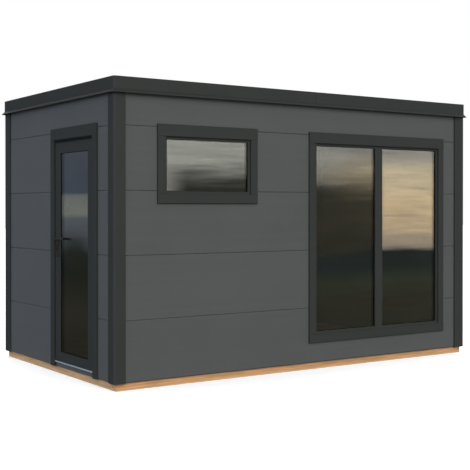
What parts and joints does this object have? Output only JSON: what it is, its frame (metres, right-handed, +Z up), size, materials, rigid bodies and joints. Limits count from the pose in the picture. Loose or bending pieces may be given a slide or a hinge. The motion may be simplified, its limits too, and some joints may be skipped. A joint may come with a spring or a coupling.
{
  "type": "garden sauna",
  "caption": "Flat-roofed garden sauna cabin of grey panel walls between rounded corner posts, on a timber base, with a glazed end door that opens inwards and glazed front windows.",
  "frame": {"origin": "on the ground at the middle of the plan", "axes": "+Z up, +X along the long side away from the door end, -Y out of the front with the windows"},
  "size_m": [4.002, 2.402, 2.5],
  "materials": {
    "base_timber": "sawn softwood, weathered lightly",
    "floor_timber": "planed softwood boards",
    "trim": "matt dark grey powder coat",
    "wall_panel": "matt grey coated sheet with a fine grain",
    "roof_membrane": "matt black roofing sheet",
    "glass": "clear double glazing",
    "bare_aluminium": "satin mill finish",
    "hinge_steel": "satin",
    "handle": "dark bronze lacquer",
    "seal": "matt black"
  },
  "bodies": {
    "cabin": {"front_sill_beam": "base_timber", "back_sill_beam": "base_timber", "left_sill_beam": "base_timber", "right_sill_beam": "base_timber", "floor_joists": "base_timber", "floor_deck": "floor_timber", "base_tracks": "trim", "front_left_post": "trim", "front_right_post": "trim", "back_left_post": "trim", "back_right_post": "trim", "front_wall": "wall_panel", "back_wall": "wall_panel", "right_wall": "wall_panel", "left_wall_rear": "wall_panel", "left_wall_front": "wall_panel", "left_wall_over_door": "wall_panel", "roof_panels": "wall_panel", "roof_membrane": "roof_membrane", "front_fascia": "trim", "back_fascia": "trim", "left_fascia": "trim", "right_fascia": "trim", "small_window_casing": "trim", "small_window_frame": "trim", "small_window_glass": "glass", "large_window_casing": "trim", "large_window_frame": "trim", "large_window_mullion": "trim", "large_window_left_glass": "glass", "large_window_right_glass": "glass", "glazing_spacers": "seal", "door_casing": "trim", "door_frame": "trim", "door_head_seal": "seal", "door_threshold": "bare_aluminium", "door_sill_packer": "trim", "door_hinge_pins": "hinge_steel"},
    "door": {"door_hinge_knuckles": "hinge_steel", "door_leaf": "trim", "door_glass": "glass", "door_glass_spacer": "seal", "outside_handle": "handle", "inside_handle": "handle"}
  },
  "joints": [
    {"name": "door_swing", "type": "hinge", "parent": "cabin", "child": "door", "pos_m": [-1.906, -0.801, 0.3155], "axis": [0, 0, -1], "range_deg": [0, 90]}
  ]
}
